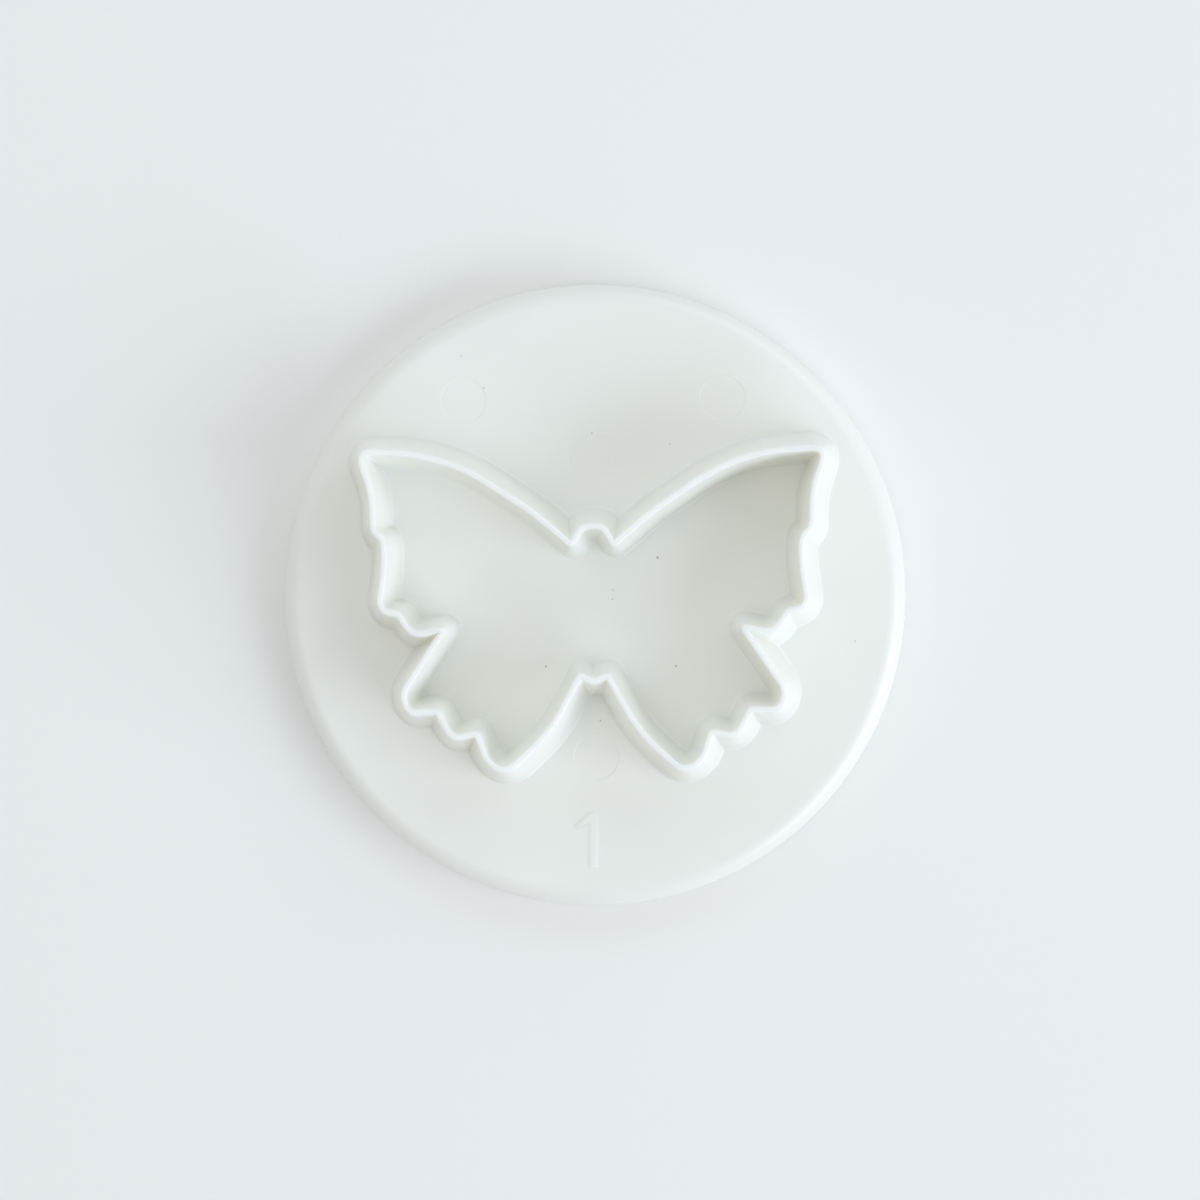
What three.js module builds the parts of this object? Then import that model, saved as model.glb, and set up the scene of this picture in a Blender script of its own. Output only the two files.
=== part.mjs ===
// Butterfly fondant cutter: a one-shot moulding, drawn as a round press disc and the cutting wall on it.
// Millimetres, +Z up. The origin is the middle of the disc's underside, the cutting edge points up and the
// butterfly's head points towards +Y. The wall follows a closed outline that is offset to both sides, wide
// at its root and thin at its cutting edge, and its notches are trimmed where the offset outline crosses.

import * as THREE from 'three';

// Press disc
const DISC_THICKNESS = 4;
const DISC_LEDGE = 1; // flat ring between the wall's farthest root and the rounded edge
const DISC_EDGE_ROUND = 1.8; // quarter round along the top edge, where the thumb rests
const DISC_FOOT_ROUND = 0.4; // small round along the underside
const GATE_MARK_DIAMETER = 3; // shallow cone in the underside, where the mould was filled
const GATE_MARK_DEPTH = 0.3;

// Cutting wall
const WALL_HEIGHT = 8;
const OUTER_SPREAD = 1.45; // how far the outer face leans out from the rim down to the root
const INNER_SPREAD = 1; // the inner face is steeper, so the cut paste lets go
const RIM_WIDTH = 0.55; // land of the cutting edge, its broken corners included
const RIM_BREAK = 0.1; // broken corners of the land
const WING_SPAN = 43.6; // over the middle of the cutting edge

// Facets
const DISC_FACETS = 112;
const ROUND_FACETS = 6;
const BEND_STEP = THREE.MathUtils.degToRad(11); // widest turn between two points of a bend
const BEND_CHORD = 0.9; // longest straight piece of a bend
const LOOP_SHARE = 0.25; // most of the outline that one notch's loop can take up

// Half of the butterfly, from the head down to the tail, in millimetres from the disc's centre. Each corner
// is bent by a curve that starts and ends `bend` away from it.
const corner = (name, x, y, bend) => ({ name, x, y, bend });
const HALF_OUTLINE = [
  corner('head', 0.95, 6.7, 0.75),
  corner('neck notch', 2.0, 4.9, 0.4),
  corner('leading edge root', 5.6, 8.0, 1.6),
  corner('leading edge crown', 14.0, 13.55, 5.0),
  corner('forewing tip', 22.4, 14.0, 1.7),
  corner('forewing margin', 20.95, 9.9, 1.6),
  corner('margin step', 20.9, 6.4, 0.6),
  corner('margin step foot', 19.95, 5.6, 0.6),
  corner('margin waist', 19.8, 3.4, 1.6),
  corner('forewing heel', 20.45, -1.15, 1.15),
  corner('heel notch', 18.55, -1.55, 0.2),
  corner('heel lobe', 17.2, -3.65, 1.3),
  corner('cleft', 14.1, -2.9, 0.7),
  corner('hindwing tip', 18.3, -9.15, 0.95),
  corner('hindwing tip foot', 17.7, -10.95, 0.9),
  corner('hindwing notch', 14.9, -10.85, 0.3),
  corner('hindwing lobe', 13.55, -13.5, 1.1),
  corner('tail lobe notch', 11.2, -12.9, 0.5),
  corner('tail lobe', 10.15, -16.0, 1.3),
  corner('tail lobe foot', 8.3, -16.6, 1.0),
  corner('hindwing inner edge', 4.3, -13.0, 2.6),
  corner('tail notch', 1.3, -7.5, 0.2),
];
const TAIL = corner('tail', 0, -8.2, 0.7);

const plastic = new THREE.MeshStandardMaterial({ color: '#f1f3f0', roughness: 0.45, metalness: 0 });

// Corners of the whole butterfly, clockwise from above. The list starts on the leading edge, far from any
// notch.
function butterflyCorners() {
  const left = HALF_OUTLINE.map((stop) => ({ ...stop, x: -stop.x })).reverse();
  const loop = [...HALF_OUTLINE, TAIL, ...left];
  const start = loop.findIndex((stop) => stop.name === 'leading edge crown');
  return [...loop.slice(start), ...loop.slice(0, start)];
}

// Points along the bent corners, each with the direction that leads out of the butterfly.
function outlineSamples(corners) {
  const place = corners.map((stop) => new THREE.Vector2(stop.x, stop.y));
  return corners.flatMap((stop, i) => {
    const here = place[i];
    const arrival = here.clone().sub(place.at(i - 1)).normalize();
    const departure = place[(i + 1) % place.length].clone().sub(here).normalize();
    const entry = here.clone().addScaledVector(arrival, -stop.bend);
    const exit = here.clone().addScaledVector(departure, stop.bend);
    const bend = new THREE.QuadraticBezierCurve(entry, here, exit);
    const turn = Math.acos(THREE.MathUtils.clamp(arrival.dot(departure), -1, 1));
    const steps = Math.max(Math.ceil(turn / BEND_STEP), Math.ceil((2 * stop.bend) / BEND_CHORD));
    return Array.from({ length: steps + 1 }, (_, k) => {
      const point = bend.getPoint(k / steps);
      const along = bend.getTangent(k / steps);
      return { point, outward: new THREE.Vector2(-along.y, along.x) };
    });
  });
}

// The outline at its real size: the middle of its cutting edge measures the wing span.
function scaledSamples() {
  const drawn = outlineSamples(butterflyCorners());
  const size = WING_SPAN / 2 / Math.max(...drawn.map(({ point }) => point.x));
  drawn.forEach(({ point }) => point.multiplyScalar(size));
  return drawn;
}

// Where two stretches a-b and c-d cross, or null.
function crossing(a, b, c, d) {
  const first = b.clone().sub(a);
  const second = d.clone().sub(c);
  const gap = c.clone().sub(a);
  const across = first.cross(second);
  const t = gap.cross(second) / across;
  const u = gap.cross(first) / across;
  return t > 0 && t <= 1 && u > 0 && u <= 1 ? a.clone().addScaledVector(first, t) : null;
}

// The outline moved out by `offset`. Where it would loop over itself in a notch, the points of the loop
// all move to its crossing, so every ring keeps the same number of points.
function offsetRing(samples, offset) {
  const ring = samples.map(({ point, outward }) => point.clone().addScaledVector(outward, offset));
  const count = ring.length;
  for (let i = 0; i < count - 1; i += 1) {
    const reach = Math.min(count - 2, i + Math.floor(count * LOOP_SHARE));
    for (let j = reach; j > i + 1; j -= 1) {
      const meet = crossing(ring[i], ring[i + 1], ring[j], ring[j + 1]);
      if (meet) {
        ring.fill(meet, i + 1, j + 1);
        break;
      }
    }
  }
  return ring;
}

// A closed tube through rings of points; the last ring joins the first. Points that share a place share a
// vertex, and triangles without area are left out.
function loftedLoop(rings) {
  const positions = [];
  const index = [];
  const levels = rings.map(({ ring, z }) => {
    const known = new Map();
    return ring.map((point) => {
      if (!known.has(point)) {
        known.set(point, positions.length / 3);
        positions.push(point.x, point.y, z);
      }
      return known.get(point);
    });
  });
  const triangle = (a, b, c) => {
    if (a !== b && b !== c && c !== a) index.push(a, b, c);
  };
  levels.forEach((level, r) => {
    const above = levels[(r + 1) % levels.length];
    level.forEach((vertex, i) => {
      const next = (i + 1) % level.length;
      triangle(vertex, above[i], level[next]);
      triangle(level[next], above[i], above[next]);
    });
  });
  const geometry = new THREE.BufferGeometry();
  geometry.setAttribute('position', new THREE.Float32BufferAttribute(positions, 3));
  geometry.setIndex(index);
  geometry.computeVertexNormals();
  return geometry;
}

const samples = scaledSamples();
const outerRoot = offsetRing(samples, RIM_WIDTH / 2 + OUTER_SPREAD);

function cuttingWall() {
  const rimBreak = Math.min(RIM_BREAK, RIM_WIDTH / 4);
  const rimSide = WALL_HEIGHT - rimBreak;
  const land = RIM_WIDTH / 2 - rimBreak;
  return loftedLoop([
    { ring: outerRoot, z: 0 },
    { ring: offsetRing(samples, RIM_WIDTH / 2), z: rimSide },
    { ring: offsetRing(samples, land), z: WALL_HEIGHT },
    { ring: offsetRing(samples, -land), z: WALL_HEIGHT },
    { ring: offsetRing(samples, -RIM_WIDTH / 2), z: rimSide },
    { ring: offsetRing(samples, -RIM_WIDTH / 2 - INNER_SPREAD), z: 0 },
  ]);
}

// A quarter round of the disc's profile, from the angle `start` on.
function quarterRound(x, z, radius, start) {
  return Array.from({ length: ROUND_FACETS + 1 }, (_, k) => {
    const angle = start + (k / ROUND_FACETS) * (Math.PI / 2);
    return new THREE.Vector2(x + radius * Math.cos(angle), z + radius * Math.sin(angle));
  });
}

function pressDisc() {
  const reach = Math.max(...outerRoot.map((point) => point.length()));
  const edge = Math.min(DISC_EDGE_ROUND, DISC_THICKNESS - DISC_FOOT_ROUND);
  const radius = reach + DISC_LEDGE + edge;
  const profile = [
    new THREE.Vector2(0, GATE_MARK_DEPTH),
    new THREE.Vector2(GATE_MARK_DIAMETER / 2, 0),
    ...quarterRound(radius - DISC_FOOT_ROUND, DISC_FOOT_ROUND, DISC_FOOT_ROUND, -Math.PI / 2),
    ...quarterRound(radius - edge, DISC_THICKNESS - edge, edge, 0),
    new THREE.Vector2(0, DISC_THICKNESS),
  ];
  return new THREE.LatheGeometry(profile, DISC_FACETS).rotateX(Math.PI / 2);
}

const cutter = new THREE.Group();

const baseDisc = new THREE.Mesh(pressDisc(), plastic);
baseDisc.name = 'base_disc';
cutter.add(baseDisc);

const wall = new THREE.Mesh(cuttingWall(), plastic.clone());
wall.name = 'cutting_wall';
wall.position.z = DISC_THICKNESS;
cutter.add(wall);

export default cutter;
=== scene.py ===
"""Butterfly fondant cutter in white moulded plastic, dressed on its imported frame.

The cutter lies on its back on a sheet of pale paper with its cutting edge up, and soft light reaches
it from the right. Each piece is shaped in millimetres, in the frame's own axes, and scaled to metres
when it is done.
"""

import logging
import math
from dataclasses import dataclass, field
from enum import Enum
from itertools import pairwise

import bmesh
import bpy
from mathutils import Matrix, Vector
from mathutils.geometry import intersect_line_line_2d


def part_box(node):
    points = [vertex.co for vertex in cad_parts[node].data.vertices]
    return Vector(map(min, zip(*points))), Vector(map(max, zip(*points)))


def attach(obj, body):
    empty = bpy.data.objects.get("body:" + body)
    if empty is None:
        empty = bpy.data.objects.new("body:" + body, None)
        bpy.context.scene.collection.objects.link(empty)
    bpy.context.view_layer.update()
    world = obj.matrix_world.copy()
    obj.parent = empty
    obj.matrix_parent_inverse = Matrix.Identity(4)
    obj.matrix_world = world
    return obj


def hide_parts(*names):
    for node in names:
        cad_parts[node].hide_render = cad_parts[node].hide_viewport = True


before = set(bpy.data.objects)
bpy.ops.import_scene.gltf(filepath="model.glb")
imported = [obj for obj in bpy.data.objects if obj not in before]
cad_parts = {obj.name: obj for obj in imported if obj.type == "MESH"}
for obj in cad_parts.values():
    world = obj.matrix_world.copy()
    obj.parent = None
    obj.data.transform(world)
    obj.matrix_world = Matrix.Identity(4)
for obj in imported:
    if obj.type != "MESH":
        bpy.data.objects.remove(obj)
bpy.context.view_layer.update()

LOG = logging.getLogger("fondant_cutter")

MM = 0.001  # one millimetre, in metres
WELD = 1e-4  # millimetres; points closer than this are one point
NEAR = 0.02  # millimetres; points closer than this to a line or a face lie on it
ROOT_BODY = "root"
POLISH_AND_HIGHLIGHT_ATTRIBUTE = "polish_and_highlight"  # 1 at points that are rubbed smooth and painted lighter as a highlight, 0 elsewhere
MIX_COLOURS = (6, 7, 2)  # sockets of a Mix node for colours: first, second and result
MIX_VALUES = (2, 3, 0)  # the same for values

Colour = tuple[float, float, float]
Range = tuple[float, float]


class Slot(Enum):
    """Material slots of the part's record."""

    WHITE_PLASTIC = "white_plastic"


class Node(Enum):
    """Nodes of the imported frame."""

    DISC = "base_disc"
    WALL = "cutting_wall"


@dataclass(frozen=True)
class Box:
    """A node's box in millimetres."""

    low: Vector
    high: Vector

    @classmethod
    def of(cls, node: Node) -> "Box":
        """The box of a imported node."""
        low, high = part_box(node.value)
        return cls(low / MM, high / MM)

    @property
    def size(self) -> Vector:
        """Length, width and height."""
        return self.high - self.low


def finished_piece(shape: bmesh.types.BMesh, name: str, crease: float) -> bpy.types.Object:
    """Turns a shape in millimetres into a smooth-shaded object in metres, at the origin.

    Args:
        shape: The finished shape, which is freed.
        name: The piece's name.
        crease: Edges that turn by more than this angle, in degrees, stay sharp.

    Returns:
        The new object, linked to the scene.
    """
    bmesh.ops.scale(shape, vec=Vector((MM, MM, MM)), verts=shape.verts)
    mesh = bpy.data.meshes.new(name)
    shape.to_mesh(mesh)
    shape.free()
    mesh.shade_smooth()
    mesh.set_sharp_from_angle(angle=math.radians(crease))
    piece = bpy.data.objects.new(name, mesh)
    bpy.context.scene.collection.objects.link(piece)
    return piece


def close_up(shape: bmesh.types.BMesh) -> None:
    """Welds points that share a place, drops empty faces and turns all faces outwards.

    Args:
        shape: The shape, in millimetres.
    """
    bmesh.ops.remove_doubles(shape, verts=shape.verts, dist=WELD)
    bmesh.ops.dissolve_degenerate(shape, dist=WELD, edges=shape.edges)
    bmesh.ops.recalc_face_normals(shape, faces=shape.faces)


def extruded_loop(
    shape: bmesh.types.BMesh, loop: list[bmesh.types.BMEdge]
) -> tuple[list[bmesh.types.BMVert], list[bmesh.types.BMEdge]]:
    """Extrudes a loop of open edges, in place.

    Args:
        shape: The shape that the loop belongs to.
        loop: The loop's edges.

    Returns:
        The points and the edges of the new loop.
    """
    grown = bmesh.ops.extrude_edge_only(shape, edges=loop)["geom"]
    points = [part for part in grown if isinstance(part, bmesh.types.BMVert)]
    edges = [part for part in grown if isinstance(part, bmesh.types.BMEdge) and part.is_boundary]
    return points, edges


@dataclass
class NodeSheet:
    """A node tree with short calls to place and join its nodes."""

    tree: bpy.types.NodeTree

    def add(self, kind: str, **settings: object) -> bpy.types.Node:
        """Places a node.

        Args:
            kind: The node's type.
            **settings: Properties of the node to set.

        Returns:
            The new node.
        """
        node = self.tree.nodes.new(kind)
        for name, value in settings.items():
            setattr(node, name, value)
        return node

    def join(self, source: bpy.types.NodeSocket, target: bpy.types.NodeSocket) -> None:
        """Links an output to an input."""
        self.tree.links.new(source, target)

    def math(self, operation: str, first: bpy.types.NodeSocket, second: float) -> bpy.types.NodeSocket:
        """Combines a value with a number.

        Args:
            operation: The Math node's operation.
            first: The value.
            second: The number.

        Returns:
            The result's socket.
        """
        node = self.add("ShaderNodeMath", operation=operation)
        self.join(first, node.inputs[0])
        node.inputs[1].default_value = second
        return node.outputs[0]

    def ramp(
        self, value: bpy.types.NodeSocket, source: Range, target: Range = (0.0, 1.0)
    ) -> bpy.types.NodeSocket:
        """Maps a range of a value smoothly onto another.

        Args:
            value: The value to map.
            source: Where the range starts and ends.
            target: The result at the start and at the end.

        Returns:
            The result's socket.
        """
        node = self.add("ShaderNodeMapRange", interpolation_type="SMOOTHSTEP")
        self.join(value, node.inputs["Value"])
        for side, (low, high) in (("From", source), ("To", target)):
            node.inputs[f"{side} Min"].default_value = low
            node.inputs[f"{side} Max"].default_value = high
        return node.outputs["Result"]


class SurfaceGroups:
    """The node groups that the cutter's finishes share, each built once."""

    cloud_detail = 3.0
    cloud_distortion = 0.6
    cloud_range: Range = (0.35, 0.65)  # noise levels between which a patch fades in
    grain_detail = 4.0
    wave_detail = 1.0
    grain_share = 0.15  # height of the grain against the height of the waves
    speck_range: Range = (0.4, 1.2)  # shares of its radius between which a speck fades out

    def __init__(self) -> None:
        """Builds the groups."""
        self.cloud = self._cloud()
        self.grain = self._grain()
        self.speck = self._speck()

    @staticmethod
    def _sheet(
        name: str, inputs: dict[str, str], outputs: dict[str, str]
    ) -> tuple[NodeSheet, bpy.types.NodeOutputs, bpy.types.NodeInputs]:
        """Starts a group.

        Args:
            name: The group's name.
            inputs: Names and socket types of its inputs.
            outputs: Names and socket types of its outputs.

        Returns:
            The group's sheet, its inputs and its outputs, as sockets inside the group.
        """
        tree = bpy.data.node_groups.new(name, "ShaderNodeTree")
        for direction, sockets in (("INPUT", inputs), ("OUTPUT", outputs)):
            for socket, kind in sockets.items():
                tree.interface.new_socket(name=socket, in_out=direction, socket_type=kind)
        sheet = NodeSheet(tree)
        return sheet, sheet.add("NodeGroupInput").outputs, sheet.add("NodeGroupOutput").inputs

    def _cloud(self) -> bpy.types.NodeTree:
        """Soft cloudy patches, where the melt cooled unevenly.

        Returns:
            The group.
        """
        sheet, inputs, outputs = self._sheet(
            "cloudy_melt",
            {"Vector": "NodeSocketVector", "Scale": "NodeSocketFloat"},
            {"Mask": "NodeSocketFloat"},
        )
        noise = sheet.add("ShaderNodeTexNoise")
        noise.inputs["Detail"].default_value = self.cloud_detail
        noise.inputs["Distortion"].default_value = self.cloud_distortion
        sheet.join(inputs["Vector"], noise.inputs["Vector"])
        sheet.join(inputs["Scale"], noise.inputs["Scale"])
        sheet.join(sheet.ramp(noise.outputs["Fac"], self.cloud_range), outputs["Mask"])
        return sheet.tree

    def _grain(self) -> bpy.types.NodeTree:
        """The fine grain of the mould's face over its long, faint waves.

        Returns:
            The group.
        """
        sheet, inputs, outputs = self._sheet(
            "mould_grain",
            {
                "Vector": "NodeSocketVector",
                "Grain Scale": "NodeSocketFloat",
                "Wave Scale": "NodeSocketFloat",
            },
            {"Height": "NodeSocketFloat", "Grain": "NodeSocketFloat"},
        )
        grain, wave = (sheet.add("ShaderNodeTexNoise") for _ in range(2))
        grain.inputs["Detail"].default_value = self.grain_detail
        wave.inputs["Detail"].default_value = self.wave_detail
        for noise, scale in ((grain, "Grain Scale"), (wave, "Wave Scale")):
            sheet.join(inputs["Vector"], noise.inputs["Vector"])
            sheet.join(inputs[scale], noise.inputs["Scale"])
        both = sheet.add("ShaderNodeMath", operation="MULTIPLY_ADD")
        both.inputs[1].default_value = self.grain_share
        sheet.join(grain.outputs["Fac"], both.inputs[0])
        sheet.join(wave.outputs["Fac"], both.inputs[2])
        sheet.join(both.outputs[0], outputs["Height"])
        sheet.join(grain.outputs["Fac"], outputs["Grain"])
        return sheet.tree

    def _speck(self) -> bpy.types.NodeTree:
        """One speck of dust, solid in its middle and soft at its edge.

        Returns:
            The group.
        """
        sheet, inputs, outputs = self._sheet(
            "dust_speck",
            {"Vector": "NodeSocketVector", "Place": "NodeSocketVector", "Radius": "NodeSocketFloat"},
            {"Mask": "NodeSocketFloat"},
        )
        gap = sheet.add("ShaderNodeVectorMath", operation="DISTANCE")
        sheet.join(inputs["Vector"], gap.inputs[0])
        sheet.join(inputs["Place"], gap.inputs[1])
        share = sheet.add("ShaderNodeMath", operation="DIVIDE")
        sheet.join(gap.outputs["Value"], share.inputs[0])
        sheet.join(inputs["Radius"], share.inputs[1])
        mask = sheet.ramp(share.outputs[0], self.speck_range, target=(1.0, 0.0))
        sheet.join(mask, outputs["Mask"])
        return sheet.tree


@dataclass(frozen=True)
class Speck:
    """A speck of dust: its place on a piece and its radius, in millimetres, and how dark it is."""

    x: float
    y: float
    z: float
    radius: float
    strength: float


@dataclass(frozen=True)
class PolishAndHighlight:
    """Where a piece is rubbed smooth and has a painted highlight: past a radius from the disc's axis,
    or on its raised parts.
    """

    from_radius: float | None = None  # millimetres; None reads the piece's polish_and_highlight attribute instead
    fade: float = 1.2  # width over which the rubbed smoothness and the painted highlight set in, in millimetres

    def mask(self, sheet: NodeSheet, place: bpy.types.NodeSocket) -> bpy.types.NodeSocket:
        """Adds the nodes that find the polished part, which also gets the painted highlight.

        Args:
            sheet: The material's sheet.
            place: Object coordinates.

        Returns:
            The mask's socket, 1 where the piece is polished and painted lighter.
        """
        if self.from_radius is None:
            return sheet.add("ShaderNodeAttribute", attribute_name=POLISH_AND_HIGHLIGHT_ATTRIBUTE).outputs["Fac"]
        flat = sheet.add("ShaderNodeVectorMath", operation="MULTIPLY")
        flat.inputs[1].default_value = (1.0, 1.0, 0.0)
        sheet.join(place, flat.inputs[0])
        length = sheet.add("ShaderNodeVectorMath", operation="LENGTH")
        sheet.join(flat.outputs["Vector"], length.inputs[0])
        start = self.from_radius * MM
        return sheet.ramp(length.outputs["Value"], (start, start + self.fade * MM))


@dataclass(frozen=True)
class MouldedPlastic:
    """Satin white plastic as it leaves a polished mould."""

    name: str
    colour: Colour = (0.89, 0.89, 0.834)
    cloud_colour: Colour = (0.877, 0.878, 0.821)
    dust_colour: Colour = (0.2, 0.19, 0.17)
    # A little lighter than the plastic where it is polished: a painted highlight on rims, rounded edges
    # and raised parts.
    painted_highlight_colour: Colour = (0.894, 0.893, 0.839)
    cloud_scale: float = 90.0  # patches of about a centimetre
    grain_scale: float = 4200.0  # grain of about a quarter of a millimetre
    wave_scale: float = 160.0
    roughness: float = 0.4
    grain_roughness: float = 0.06
    polished_roughness: float = 0.3
    grain_range: Range = (0.3, 0.7)  # noise levels between which the grain turns from smooth to rough
    relief: float = 0.012  # depth of the grain's bump, in millimetres
    bump_strength: float = 0.35
    refraction: float = 1.49
    translucent_over: Range | None = None  # heights between which it turns translucent
    travel: float = 1.6  # how far light travels inside the translucent part, in millimetres
    travel_colour: Colour = (1.0, 0.9, 0.76)
    specks: tuple[Speck, ...] = ()

    def material(self, groups: SurfaceGroups, polish_and_highlight: PolishAndHighlight) -> bpy.types.Material:
        """Builds the material.

        Args:
            groups: The shared node groups.
            polish_and_highlight: Where the piece is smoother than elsewhere and painted lighter as a
                highlight.

        Returns:
            The material.
        """
        material = bpy.data.materials.new(self.name)
        material.use_nodes = True
        sheet = NodeSheet(material.node_tree)
        shader = material.node_tree.nodes["Principled BSDF"]
        shader.inputs["IOR"].default_value = self.refraction
        place = sheet.add("ShaderNodeTexCoord").outputs["Object"]
        # The polished parts are rubbed smooth and also painted lighter as a highlight.
        polished = polish_and_highlight.mask(sheet, place)
        if self.translucent_over:
            self._let_light_through(sheet, shader, place)

        cloud = self._group(sheet, groups.cloud, place, Scale=self.cloud_scale)
        tint = self._mix(sheet, cloud.outputs["Mask"], self.colour, self.cloud_colour)
        # Painted highlight: the polished parts are painted a little lighter.
        tint = self._mix(sheet, polished, tint, self.painted_highlight_colour)
        for speck in self.specks:
            mark = self._group(sheet, groups.speck, place, Radius=speck.radius * MM)
            mark.inputs["Place"].default_value = Vector((speck.x, speck.y, speck.z)) * MM
            faint = sheet.math("MULTIPLY", mark.outputs["Mask"], speck.strength)
            tint = self._mix(sheet, faint, tint, self.dust_colour)
        sheet.join(tint, shader.inputs["Base Color"])

        scales = {"Grain Scale": self.grain_scale, "Wave Scale": self.wave_scale}
        grain = self._group(sheet, groups.grain, place, **scales)
        spread = (self.roughness - self.grain_roughness, self.roughness + self.grain_roughness)
        matt = sheet.ramp(grain.outputs["Grain"], self.grain_range, target=spread)
        rough = self._blend(sheet, polished, matt, self.polished_roughness)
        sheet.join(rough, shader.inputs["Roughness"])
        bump = sheet.add("ShaderNodeBump")
        bump.inputs["Strength"].default_value = self.bump_strength
        bump.inputs["Distance"].default_value = self.relief * MM
        sheet.join(grain.outputs["Height"], bump.inputs["Height"])
        sheet.join(bump.outputs["Normal"], shader.inputs["Normal"])
        return material

    def _let_light_through(
        self, sheet: NodeSheet, shader: bpy.types.Node, place: bpy.types.NodeSocket
    ) -> None:
        """Lets light travel inside the upper, thinner part of a piece.

        Args:
            sheet: The material's sheet.
            shader: The material's shader.
            place: Object coordinates.
        """
        shader.inputs["Subsurface Scale"].default_value = self.travel * MM
        shader.inputs["Subsurface Radius"].default_value = self.travel_colour
        height = sheet.add("ShaderNodeSeparateXYZ")
        sheet.join(place, height.inputs["Vector"])
        start, end = self.translucent_over
        weight = sheet.ramp(height.outputs["Z"], (start * MM, end * MM))
        sheet.join(weight, shader.inputs["Subsurface Weight"])

    @staticmethod
    def _group(
        sheet: NodeSheet, group: bpy.types.NodeTree, place: bpy.types.NodeSocket, **values: float
    ) -> bpy.types.Node:
        """Places a shared group.

        Args:
            sheet: The material's sheet.
            group: The group.
            place: The coordinates that it reads.
            **values: Numbers for its inputs.

        Returns:
            The group's node.
        """
        node = sheet.add("ShaderNodeGroup", node_tree=group)
        sheet.join(place, node.inputs["Vector"])
        for name, value in values.items():
            node.inputs[name].default_value = value
        return node

    @staticmethod
    def _mix(
        sheet: NodeSheet,
        mask: bpy.types.NodeSocket,
        base: bpy.types.NodeSocket | Colour,
        other: Colour,
    ) -> bpy.types.NodeSocket:
        """Mixes a second colour in where a mask says so.

        Args:
            sheet: The material's sheet.
            mask: The mask.
            base: The colour where the mask is 0, plain or as a socket.
            other: The colour where the mask is 1.

        Returns:
            The mixed colour's socket.
        """
        node = sheet.add("ShaderNodeMix", data_type="RGBA")
        first, second, result = MIX_COLOURS
        sheet.join(mask, node.inputs["Factor"])
        if isinstance(base, tuple):
            node.inputs[first].default_value = (*base, 1.0)
        else:
            sheet.join(base, node.inputs[first])
        node.inputs[second].default_value = (*other, 1.0)
        return node.outputs[result]

    @staticmethod
    def _blend(
        sheet: NodeSheet, mask: bpy.types.NodeSocket, base: bpy.types.NodeSocket, other: float
    ) -> bpy.types.NodeSocket:
        """Blends a value towards a number where a mask says so.

        Args:
            sheet: The material's sheet.
            mask: The mask.
            base: The value where the mask is 0.
            other: The number where the mask is 1.

        Returns:
            The blended value's socket.
        """
        node = sheet.add("ShaderNodeMix", data_type="FLOAT")
        first, second, result = MIX_VALUES
        sheet.join(mask, node.inputs["Factor"])
        sheet.join(base, node.inputs[first])
        node.inputs[second].default_value = other
        return node.outputs[result]


@dataclass(frozen=True)
class PinMark:
    """A round mark that an ejector pin left on the disc: its centre, in millimetres."""

    x: float
    y: float


PIN_MARKS = (PinMark(0.0, 13.3), PinMark(-12.5, 18.9), PinMark(12.5, 18.9), PinMark(0.0, -15.65))

# Dust on the disc: its place and its radius, in millimetres, and how dark it is.
DUST: tuple[tuple[float, float, float, float], ...] = (
    (6.09, 3.6, 0.13, 0.75),
    (1.77, 0.51, 0.09, 0.45),
    (1.71, -0.36, 0.09, 0.45),
    (7.77, -6.87, 0.12, 0.7),
    (-4.77, -6.81, 0.12, 0.6),
    (0.45, -12.07, 0.1, 0.6),
    (-12.68, 23.21, 0.1, 0.35),
    (-10.49, 20.1, 0.12, 0.4),
    (-0.12, 15.66, 0.09, 0.5),
    (7.39, 14.53, 0.09, 0.4),
    (25.04, -4.62, 0.12, 0.35),
    (14.44, -5.1, 0.12, 0.6),
)


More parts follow.
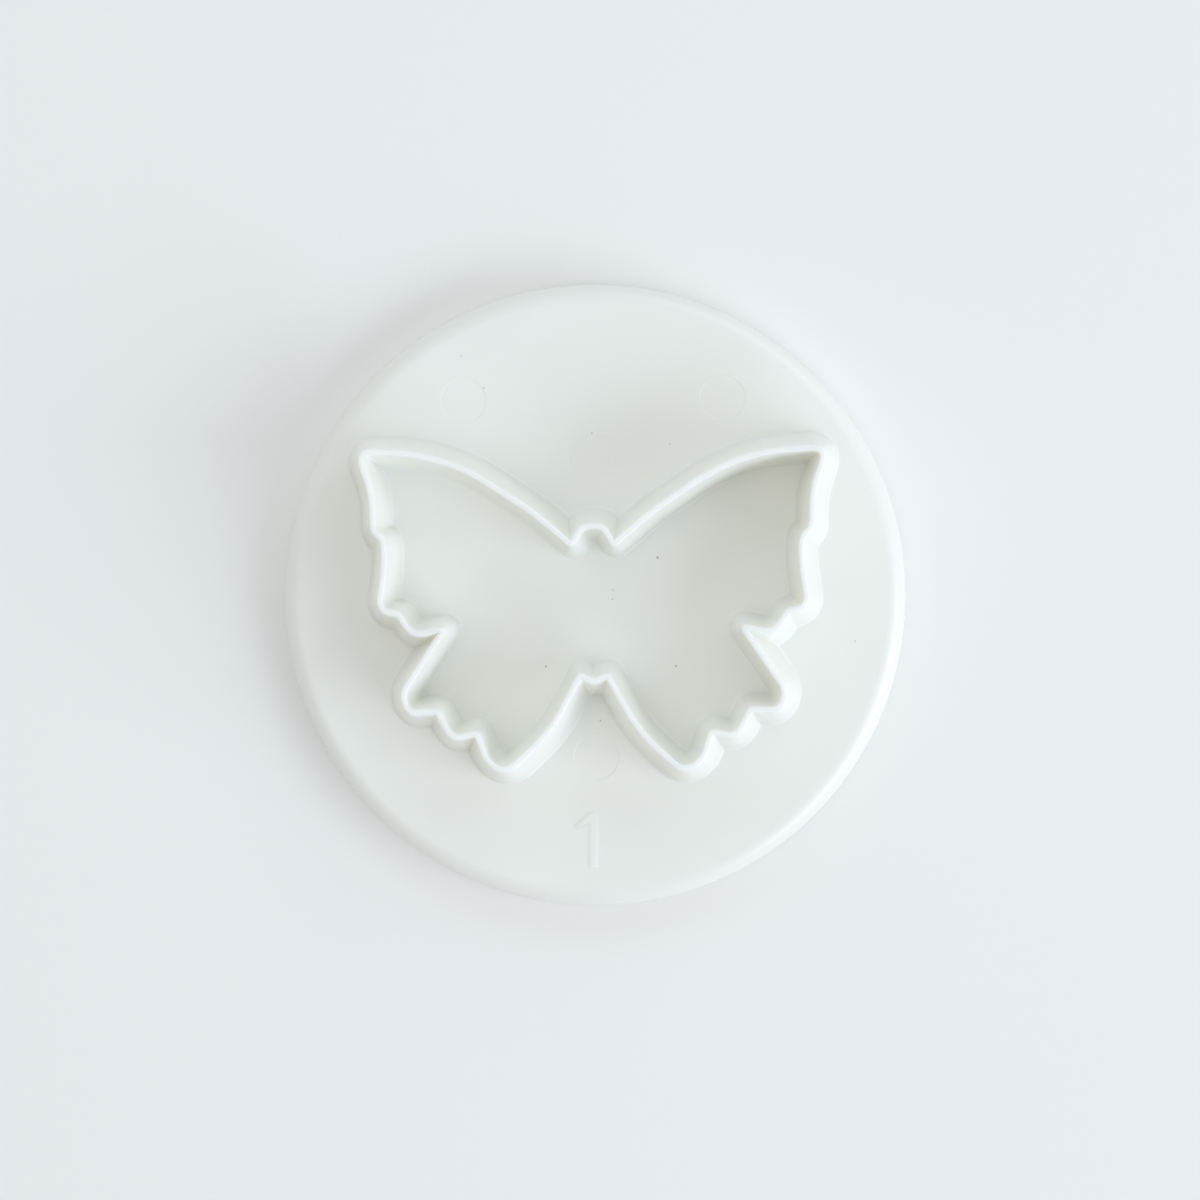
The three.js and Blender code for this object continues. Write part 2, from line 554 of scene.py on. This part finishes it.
@dataclass
class PressDisc:
    """The round plate that carries the cutting wall, with its pin marks and the gate mark below."""

    box: Box = field(default_factory=lambda: Box.of(Node.DISC))
    edge_round: float = 1.8
    foot_round: float = 0.4
    gate_diameter: float = 3.0
    gate_depth: float = 0.3
    pin_diameter: float = 4.4
    pin_depth: float = 0.03
    pin_slope: float = 0.06  # width of a mark's sloping edge
    pin_sectors: int = 96
    flat_margin: float = 0.4  # ring of the flat face that stays whole along the rounded edge
    sectors: int = 288
    edge_segments: int = 20

    @property
    def radius(self) -> float:
        """The disc's radius."""
        return self.box.size.x / 2

    @property
    def top(self) -> float:
        """Height of the disc's flat face."""
        return self.box.high.z

    def build(self) -> bpy.types.Object:
        """Spins the disc, rounds its edges and sinks the pin marks.

        Returns:
            The disc.
        """
        shape = bmesh.new()
        stops = (
            (0.0, self.gate_depth),
            (self.gate_diameter / 2, 0.0),
            (self.radius, 0.0),
            (self.radius, self.top),
            (0.0, self.top),
        )
        points = [shape.verts.new((distance, 0.0, height)) for distance, height in stops]
        lines = [shape.edges.new(pair) for pair in pairwise(points)]
        bmesh.ops.spin(
            shape,
            geom=points + lines,
            cent=(0.0, 0.0, 0.0),
            axis=(0.0, 0.0, 1.0),
            angle=math.tau,
            steps=self.sectors,
            use_merge=True,
        )
        close_up(shape)
        self._round_edge(shape, self.top, self.edge_round)
        self._round_edge(shape, self.box.low.z, self.foot_round)
        self._sink_pin_marks(shape, self._open_top(shape))
        return finished_piece(shape, "press_disc", crease=9.0)

    def _round_edge(self, shape: bmesh.types.BMesh, height: float, radius: float) -> None:
        """Rounds the disc's outer edge at one height.

        Args:
            shape: The disc.
            height: The edge's height.
            radius: The round's radius.
        """
        outer = {
            point
            for point in shape.verts
            if abs(point.co.z - height) < NEAR and point.co.xy.length > self.radius - NEAR
        }
        edges = [edge for edge in shape.edges if outer.issuperset(edge.verts)]
        bmesh.ops.bevel(
            shape,
            geom=edges,
            offset=radius,
            offset_type="OFFSET",
            affect="EDGES",
            segments=self.edge_segments,
            profile=0.5,
            material=-1,
            clamp_overlap=True,
        )

    def _open_top(self, shape: bmesh.types.BMesh) -> list[bmesh.types.BMEdge]:
        """Opens the flat top inside a narrow margin along the rounded edge.

        Args:
            shape: The disc.

        Returns:
            The edges of the opening.
        """
        top = [
            face
            for face in shape.faces
            if all(abs(corner.co.z - self.top) < WELD for corner in face.verts)
        ]
        plate = bmesh.ops.dissolve_faces(shape, faces=top)["region"]
        bmesh.ops.inset_region(shape, faces=plate, thickness=self.flat_margin, use_even_offset=True)
        opening = [edge for face in plate for edge in face.edges]
        bmesh.ops.delete(shape, geom=plate, context="FACES_ONLY")
        return opening

    def _sink_pin_marks(self, shape: bmesh.types.BMesh, opening: list[bmesh.types.BMEdge]) -> None:
        """Fills the open top around the pin marks, and sinks the marks.

        Args:
            shape: The disc.
            opening: The edges of the open top.
        """
        rings = []
        for mark in PIN_MARKS:
            centre = Matrix.Translation((mark.x, mark.y, self.top))
            circle = bmesh.ops.create_circle(
                shape, segments=self.pin_sectors, radius=self.pin_diameter / 2, matrix=centre
            )
            rings.append(list({edge for point in circle["verts"] for edge in point.link_edges}))
        around = opening + [edge for ring in rings for edge in ring]
        bmesh.ops.triangle_fill(shape, use_beauty=True, edges=around, normal=(0.0, 0.0, 1.0))
        shrink = 1 - self.pin_slope / (self.pin_diameter / 2)
        for mark, ring in zip(PIN_MARKS, rings):
            points, floor = extruded_loop(shape, ring)
            centre = Matrix.Translation((-mark.x, -mark.y, -self.top))
            bmesh.ops.scale(shape, vec=(shrink, shrink, 1.0), verts=points, space=centre)
            bmesh.ops.translate(shape, vec=(0.0, 0.0, -self.pin_depth), verts=points)
            bmesh.ops.edgeloop_fill(shape, edges=floor)
        close_up(shape)

    def dress(self, disc: bpy.types.Object, groups: SurfaceGroups) -> None:
        """Gives the disc its finish and its place on the frame.

        Args:
            disc: The disc.
            groups: The shared node groups.
        """
        # The rounded edge is rubbed smooth and painted lighter: a painted highlight.
        polish_and_highlight = PolishAndHighlight(from_radius=self.radius - self.edge_round)
        disc.data.materials.append(self.finish().material(groups, polish_and_highlight))
        place_on_frame(disc, Node.DISC)

    def finish(self) -> MouldedPlastic:
        """The disc's plastic and the dust that lies on it."""
        dust = tuple(Speck(x, y, self.top, radius, strength) for x, y, radius, strength in DUST)
        return MouldedPlastic("disc_plastic", specks=dust)


@dataclass(frozen=True)
class Corner:
    """A corner of the butterfly, in millimetres from the disc's centre.

    It is rounded by a curve that starts and ends `bend` away from it.
    """

    name: str
    x: float
    y: float
    bend: float


HALF_OUTLINE = (
    Corner("head", 0.95, 6.7, 0.75),
    Corner("neck notch", 2.0, 4.9, 0.4),
    Corner("leading edge root", 5.6, 8.0, 1.6),
    Corner("leading edge crown", 14.0, 13.55, 5.0),
    Corner("forewing tip", 22.4, 14.0, 1.7),
    Corner("forewing margin", 20.95, 9.9, 1.6),
    Corner("margin step", 20.9, 6.4, 0.6),
    Corner("margin step foot", 19.95, 5.6, 0.6),
    Corner("margin waist", 19.8, 3.4, 1.6),
    Corner("forewing heel", 20.45, -1.15, 1.15),
    Corner("heel notch", 18.55, -1.55, 0.2),
    Corner("heel lobe", 17.2, -3.65, 1.3),
    Corner("cleft", 14.1, -2.9, 0.7),
    Corner("hindwing tip", 18.3, -9.15, 0.95),
    Corner("hindwing tip foot", 17.7, -10.95, 0.9),
    Corner("hindwing notch", 14.9, -10.85, 0.3),
    Corner("hindwing lobe", 13.55, -13.5, 1.1),
    Corner("tail lobe notch", 11.2, -12.9, 0.5),
    Corner("tail lobe", 10.15, -16.0, 1.3),
    Corner("tail lobe foot", 8.3, -16.6, 1.0),
    Corner("hindwing inner edge", 4.3, -13.0, 2.6),
    Corner("tail notch", 1.3, -7.5, 0.2),
)
TAIL = Corner("tail", 0.0, -8.2, 0.7)


@dataclass(frozen=True)
class CurvePoint:
    """A point of a curve and the direction to the left of the way that it runs."""

    place: Vector
    left: Vector


def bent_corner(before: Vector, corner: Vector, after: Vector, steps: int) -> list[CurvePoint]:
    """Points along the curve that rounds a corner.

    Args:
        before: Where the curve starts, on the way to the corner.
        corner: The corner.
        after: Where the curve ends.
        steps: How many stretches the curve is cut into.

    Returns:
        The curve's points, both ends included.
    """
    points = []
    for step in range(steps + 1):
        share = step / steps
        start, end = before.lerp(corner, share), corner.lerp(after, share)
        along = (end - start).normalized()
        points.append(CurvePoint(start.lerp(end, share), Vector((-along.y, along.x))))
    return points


class ButterflyOutline:
    """The middle line of the cutting edge, clockwise from above, as closely spaced points."""

    bend_step = math.radians(5.0)  # widest turn between two points of a bend
    bend_chord = 0.35  # longest stretch of a bend, in millimetres
    loop_share = 0.22  # most of the outline that one notch's loop can take up

    def __init__(self, wing_span: float) -> None:
        """Bends the drawn corners and scales the outline.

        Args:
            wing_span: Width over the outline, in millimetres.
        """
        drawn = self._bent(self._corners())
        size = wing_span / 2 / max(point.place.x for point in drawn)
        self.points = [CurvePoint(point.place * size, point.left) for point in drawn]

    @staticmethod
    def _corners() -> list[Corner]:
        """All corners, from the right wing's leading edge on, far from any notch.

        Returns:
            The corners in order.
        """
        left = [Corner(stop.name, -stop.x, stop.y, stop.bend) for stop in reversed(HALF_OUTLINE)]
        loop = [*HALF_OUTLINE, TAIL, *left]
        start = next(i for i, stop in enumerate(loop) if stop.name == "leading edge crown")
        return loop[start:] + loop[:start]

    def _bent(self, corners: list[Corner]) -> list[CurvePoint]:
        """Points along all the bent corners.

        Args:
            corners: The corners in order.

        Returns:
            The points of the closed outline.
        """
        places = [Vector((corner.x, corner.y)) for corner in corners]
        points = []
        for i, (corner, here) in enumerate(zip(corners, places)):
            arrival = (here - places[i - 1]).normalized()
            departure = (places[(i + 1) % len(places)] - here).normalized()
            turn = arrival.angle(departure)
            steps = max(math.ceil(turn / self.bend_step), math.ceil(2 * corner.bend / self.bend_chord))
            entry = here - arrival * corner.bend
            leave = here + departure * corner.bend
            points += bent_corner(entry, here, leave, steps)
        return points

    def ring(self, offset: float) -> list[Vector]:
        """The outline moved outwards, with the loop in each notch drawn together to its crossing.

        Args:
            offset: How far outwards, in millimetres.

        Returns:
            As many places as the outline has points.
        """
        ring = [point.place + point.left * offset for point in self.points]
        last = len(ring) - 2
        reach = int(len(ring) * self.loop_share)
        for start in range(last + 1):
            for end in range(min(last, start + reach), start + 1, -1):
                meet = intersect_line_line_2d(ring[start], ring[start + 1], ring[end], ring[end + 1])
                if meet:
                    ring[start + 1 : end + 1] = [meet] * (end - start)
                    break
        return ring


@dataclass(frozen=True)
class SectionStop:
    """A point of the wall's section: its distance from the middle line, its height, and how far it is
    rubbed smooth and painted lighter as a highlight.
    """

    offset: float
    height: float
    polish_and_highlight: float


@dataclass
class CuttingWall:
    """The butterfly-shaped wall, wide at its root and thin at its cutting edge."""

    box: Box = field(default_factory=lambda: Box.of(Node.WALL))
    outer_spread: float = 1.45  # how far the outer face leans out from the rim down to the root
    inner_spread: float = 1.0
    rim_width: float = 0.55
    rim_bend: float = 0.15  # rounding of the rim's two edges
    root_bend: float = 0.3  # fillet between each face and the disc
    sunk: float = 0.01  # how far the wall's foot lies below the disc's face
    thick_part: float = 3.0  # height over which the wall turns translucent, from its root up
    face_steps: int = 8
    bend_steps: int = 5

    def section(self) -> list[SectionStop]:
        """The wall's section, from its outer foot over the rim to its inner foot.

        Returns:
            The section's points.
        """
        outer = self._side(self.outer_spread)
        inner = self._side(self.inner_spread)
        return outer + [SectionStop(-stop.offset, stop.height, stop.polish_and_highlight) for stop in reversed(inner)]

    def _side(self, spread: float) -> list[SectionStop]:
        """One side of the section, from the foot up to the rim.

        Args:
            spread: How far the side's face leans out.

        Returns:
            The side's points.
        """
        root = Vector((self.rim_width / 2 + spread, 0.0))
        rim = Vector((self.rim_width / 2, self.box.size.z))
        rise = (rim - root).normalized()
        seat = root - rise * (self.sunk / rise.y)
        face_start = seat + rise * self.root_bend
        face_end = rim - rise * self.rim_bend
        foot = bent_corner(seat + Vector((self.root_bend, 0.0)), seat, face_start, self.bend_steps)
        land = bent_corner(face_end, rim, rim - Vector((self.rim_bend, 0.0)), self.bend_steps)
        stops = [SectionStop(*point.place, 0.0) for point in foot]
        for step in range(1, self.face_steps):
            stops.append(SectionStop(*face_start.lerp(face_end, step / self.face_steps), 0.0))
        # The rim is rubbed smooth and painted lighter: a painted highlight.
        return stops + [SectionStop(*point.place, 1.0) for point in land]

    def build(self) -> bpy.types.Object:
        """Extrudes the outline from ring to ring of the section and closes the tube.

        Returns:
            The wall.
        """
        wing_span = self.box.size.x - self.rim_width - 2 * self.outer_spread
        outline = ButterflyOutline(wing_span)
        shape = bmesh.new()
        order = shape.verts.layers.int.new("order")
        polish_and_highlight = shape.verts.layers.float.new(POLISH_AND_HIGHLIGHT_ATTRIBUTE)
        stops = self.section()
        stops.append(stops[0])
        loop: list[bmesh.types.BMEdge] = []
        for stop in stops:
            ring = outline.ring(stop.offset)
            if loop:
                points, loop = extruded_loop(shape, loop)
            else:
                points = [shape.verts.new((0.0, 0.0, 0.0)) for _ in ring]
                for i, point in enumerate(points):
                    point[order] = i
                loop = [shape.edges.new((point, points[i - 1])) for i, point in enumerate(points)]
            for point in points:
                point.co = (*ring[point[order]], self.box.low.z + stop.height)
                point[polish_and_highlight] = stop.polish_and_highlight
        shape.verts.layers.int.remove(order)
        close_up(shape)
        return finished_piece(shape, "butterfly_wall", crease=38.0)

    def dress(self, wall: bpy.types.Object, groups: SurfaceGroups) -> None:
        """Gives the wall its finish and its place on the frame.

        Args:
            wall: The wall.
            groups: The shared node groups.
        """
        root = self.box.low.z
        finish = MouldedPlastic("wall_plastic", translucent_over=(root, root + self.thick_part))
        wall.data.materials.append(finish.material(groups, PolishAndHighlight()))
        place_on_frame(wall, Node.WALL)


@dataclass
class SizeNumeral:
    """The raised plain numeral 1 on the disc, below the butterfly."""

    top: float  # height of the disc's flat face
    foot: Vector = field(default_factory=lambda: Vector((-0.47, -26.24)))
    height: float = 5.4
    stroke: float = 1.02
    flag_tip: tuple[float, float] = (1.45, 1.43)  # left of the stem, and below its top
    flag_heel: tuple[float, float] = (1.2, 1.9)
    flag_root: float = 1.3  # where the flag leaves the stem, below its top
    tilt: float = -1.7  # degrees, anticlockwise
    relief: float = 0.12
    flank: float = 0.25  # width of the sloping sides
    crown_shift: float = 0.1  # how far the crown sits to the right, where the flank is steeper
    sunk: float = 0.05  # how far the numeral's foot lies below the disc's face
    soft_edge: float = 0.05
    soft_segments: int = 3

    def outline(self) -> list[tuple[float, float]]:
        """Corners of the numeral, anticlockwise, with the stem's foot at the origin.

        Returns:
            The corners in order.
        """
        half = self.stroke / 2
        tip, tip_drop = self.flag_tip
        heel, heel_drop = self.flag_heel
        return [
            (-half, 0.0),
            (half, 0.0),
            (half, self.height),
            (-half, self.height),
            (-half - tip, self.height - tip_drop),
            (-half - heel, self.height - heel_drop),
            (-half, self.height - self.flag_root),
        ]

    def build(self) -> bpy.types.Object:
        """Raises the numeral with sloping flanks and softens its edges.

        Returns:
            The numeral.
        """
        shape = bmesh.new()
        polish_and_highlight = shape.verts.layers.float.new(POLISH_AND_HIGHLIGHT_ATTRIBUTE)
        base = shape.faces.new([shape.verts.new((x, y, -self.sunk)) for x, y in self.outline()])
        raised = bmesh.ops.extrude_face_region(shape, geom=[base], use_keep_orig=True)["geom"]
        crown = [part for part in raised if isinstance(part, bmesh.types.BMFace)]
        lifted = [part for part in raised if isinstance(part, bmesh.types.BMVert)]
        bmesh.ops.translate(shape, vec=(0.0, 0.0, self.sunk), verts=lifted)
        bmesh.ops.recalc_face_normals(shape, faces=shape.faces)
        bmesh.ops.inset_region(
            shape, faces=crown, thickness=self.flank, depth=self.relief, use_even_offset=True
        )
        crown_points = list({point for face in crown for point in face.verts})
        bmesh.ops.translate(shape, vec=(self.crown_shift, 0.0, 0.0), verts=crown_points)
        ridge = [edge for face in crown for edge in face.edges]
        bmesh.ops.bevel(
            shape,
            geom=ridge,
            offset=self.soft_edge,
            offset_type="OFFSET",
            affect="EDGES",
            segments=self.soft_segments,
            profile=0.5,
            material=-1,
            clamp_overlap=True,
        )
        # The raised parts are rubbed smooth and painted lighter, the more the higher they stand: a
        # painted highlight.
        for point in shape.verts:
            point[polish_and_highlight] = max(point.co.z, 0.0) / self.relief
        turn = Matrix.Rotation(math.radians(self.tilt), 4, "Z")
        spot = Matrix.Translation((*self.foot, self.top))
        bmesh.ops.transform(shape, matrix=spot @ turn, verts=shape.verts)
        close_up(shape)
        return finished_piece(shape, "size_numeral", crease=50.0)

    def dress(self, numeral: bpy.types.Object, groups: SurfaceGroups) -> None:
        """Gives the numeral its finish and its place on the frame.

        Args:
            numeral: The numeral.
            groups: The shared node groups.
        """
        finish = MouldedPlastic("numeral_plastic")
        numeral.data.materials.append(finish.material(groups, PolishAndHighlight()))
        place_on_frame(numeral)


def place_on_frame(piece: bpy.types.Object, *nodes: Node) -> None:
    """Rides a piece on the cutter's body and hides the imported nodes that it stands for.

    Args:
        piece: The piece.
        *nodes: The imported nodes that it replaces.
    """
    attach(piece, ROOT_BODY)
    if nodes:
        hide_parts(*(node.value for node in nodes))


@dataclass(frozen=True)
class SoftBox:
    """A wide lamp that faces the cutter."""

    name: str
    azimuth: float  # degrees from +X towards +Y
    elevation: float  # degrees above the table
    distance: float  # metres
    width: float  # metres
    height: float  # metres
    level: float  # brightness that the lamp alone gives to a white card on the table
    colour: Colour = (1.0, 1.0, 1.0)

    def build(self) -> bpy.types.Object:
        """Makes the lamp.

        Returns:
            The lamp's object.
        """
        lamp = bpy.data.lights.new(self.name, "AREA")
        lamp.shape = "RECTANGLE"
        lamp.size = self.width
        lamp.size_y = self.height
        lamp.color = self.colour
        rise = math.radians(self.elevation)
        lamp.energy = self.level * math.pi**2 * self.distance**2 / math.sin(rise)
        turn = math.radians(self.azimuth)
        towards = Vector(
            (math.cos(rise) * math.cos(turn), math.cos(rise) * math.sin(turn), math.sin(rise))
        )
        holder = bpy.data.objects.new(self.name, lamp)
        holder.location = towards * self.distance
        holder.rotation_euler = towards.to_track_quat("Z", "Y").to_euler()
        bpy.context.scene.collection.objects.link(holder)
        return holder


@dataclass(frozen=True)
class OverheadCamera:
    """The camera almost straight above the cutter."""

    place: Vector = field(default_factory=lambda: Vector((0.007823, 0.004317, 0.384093)))
    tilt: tuple[float, float, float] = (-0.72643, 1.09479, -0.53936)  # degrees about X, Y and Z
    lens: float = 118.3366  # millimetres
    sensor: float = 36.0  # width in millimetres
    clip_start: float = 0.01  # metres

    def build(self) -> bpy.types.Object:
        """Makes the camera and sets it as the scene's camera.

        Returns:
            The camera's object.
        """
        camera = bpy.data.cameras.new("overhead_camera")
        camera.sensor_width = self.sensor
        camera.lens = self.lens
        camera.clip_start = self.clip_start
        holder = bpy.data.objects.new("overhead_camera", camera)
        holder.location = self.place
        holder.rotation_euler = [math.radians(angle) for angle in self.tilt]
        bpy.context.scene.collection.objects.link(holder)
        bpy.context.scene.camera = holder
        return holder


@dataclass
class Studio:
    """The pale floor, the soft lamps, the even light from around and the camera."""

    floor_colour: Colour = (0.916, 0.904, 0.886)
    floor_roughness: float = 0.9
    floor_gloss: float = 0.1
    floor_size: float = 3.0  # metres
    around_level: float = 0.455
    around_colour: Colour = (0.99, 1.0, 0.947)
    backdrop_colour: Colour = (0.8, 0.81, 0.82)
    lamps: tuple[SoftBox, ...] = (
        SoftBox(
            name="window",
            azimuth=-30.0,
            elevation=29.0,
            distance=1.1,
            width=1.05,
            height=0.5,
            level=0.297,
            colour=(0.655, 0.79, 1.0),
        ),
        SoftBox(
            name="low_window",
            azimuth=-20.0,
            elevation=14.0,
            distance=1.1,
            width=0.55,
            height=0.25,
            level=0.026,
            colour=(1.0, 0.74, 0.62),
        ),
        SoftBox(
            name="right_fill",
            azimuth=60.0,
            elevation=32.0,
            distance=1.1,
            width=0.8,
            height=0.6,
            level=0.082,
            colour=(0.79, 0.93, 1.0),
        ),
        SoftBox(
            name="left_fill",
            azimuth=120.0,
            elevation=35.0,
            distance=1.1,
            width=1.2,
            height=0.6,
            level=0.098,
            colour=(0.61, 0.745, 1.0),
        ),
        SoftBox(
            name="ceiling",
            azimuth=180.0,
            elevation=72.0,
            distance=1.2,
            width=1.0,
            height=1.0,
            level=0.145,
        ),
    )

    def build(self) -> None:
        """Makes everything that lights and shows the cutter."""
        self._floor()
        self._around()
        for lamp in self.lamps:
            lamp.build()
        OverheadCamera().build()
        bpy.context.scene.view_settings.view_transform = "Standard"

    def _floor(self) -> None:
        """Lays the pale floor under the cutter."""
        shape = bmesh.new()
        bmesh.ops.create_grid(shape, x_segments=1, y_segments=1, size=self.floor_size / 2 / MM)
        floor = finished_piece(shape, "floor", crease=30.0)
        material = bpy.data.materials.new("pale_paper")
        material.use_nodes = True
        shader = material.node_tree.nodes["Principled BSDF"]
        shader.inputs["Base Color"].default_value = (*self.floor_colour, 1.0)
        shader.inputs["Roughness"].default_value = self.floor_roughness
        shader.inputs["Specular IOR Level"].default_value = self.floor_gloss
        floor.data.materials.append(material)

    def _around(self) -> None:
        """Lights the cutter evenly from around, and shows the camera a pale backdrop."""
        world = bpy.data.worlds.new("studio")
        bpy.context.scene.world = world
        world.use_nodes = True
        sheet = NodeSheet(world.node_tree)
        world.node_tree.nodes.clear()
        around, backdrop = (sheet.add("ShaderNodeBackground") for _ in range(2))
        around.inputs["Color"].default_value = (*self.around_colour, 1.0)
        around.inputs["Strength"].default_value = self.around_level
        backdrop.inputs["Color"].default_value = (*self.backdrop_colour, 1.0)
        rays = sheet.add("ShaderNodeLightPath").outputs
        seen = rays["Is Camera Ray"]
        for other in ("Is Glossy Ray", "Is Transmission Ray"):
            either = sheet.add("ShaderNodeMath", operation="MAXIMUM")
            sheet.join(seen, either.inputs[0])
            sheet.join(rays[other], either.inputs[1])
            seen = either.outputs[0]
        choice = sheet.add("ShaderNodeMixShader")
        sheet.join(seen, choice.inputs["Fac"])
        sheet.join(around.outputs[0], choice.inputs[1])
        sheet.join(backdrop.outputs[0], choice.inputs[2])
        sheet.join(choice.outputs[0], sheet.add("ShaderNodeOutputWorld").inputs["Surface"])


def main() -> None:
    """Builds the cutter's pieces in order, dresses them and sets up the studio."""
    logging.basicConfig(level=logging.INFO, format="%(name)s: %(message)s")
    groups = SurfaceGroups()
    disc = PressDisc()
    for assembly in (disc, CuttingWall(), SizeNumeral(top=disc.top)):
        piece = assembly.build()
        assembly.dress(piece, groups)
        LOG.info("%s: %d faces", piece.name, len(piece.data.polygons))
    Studio().build()


if __name__ == "__main__":
    main()
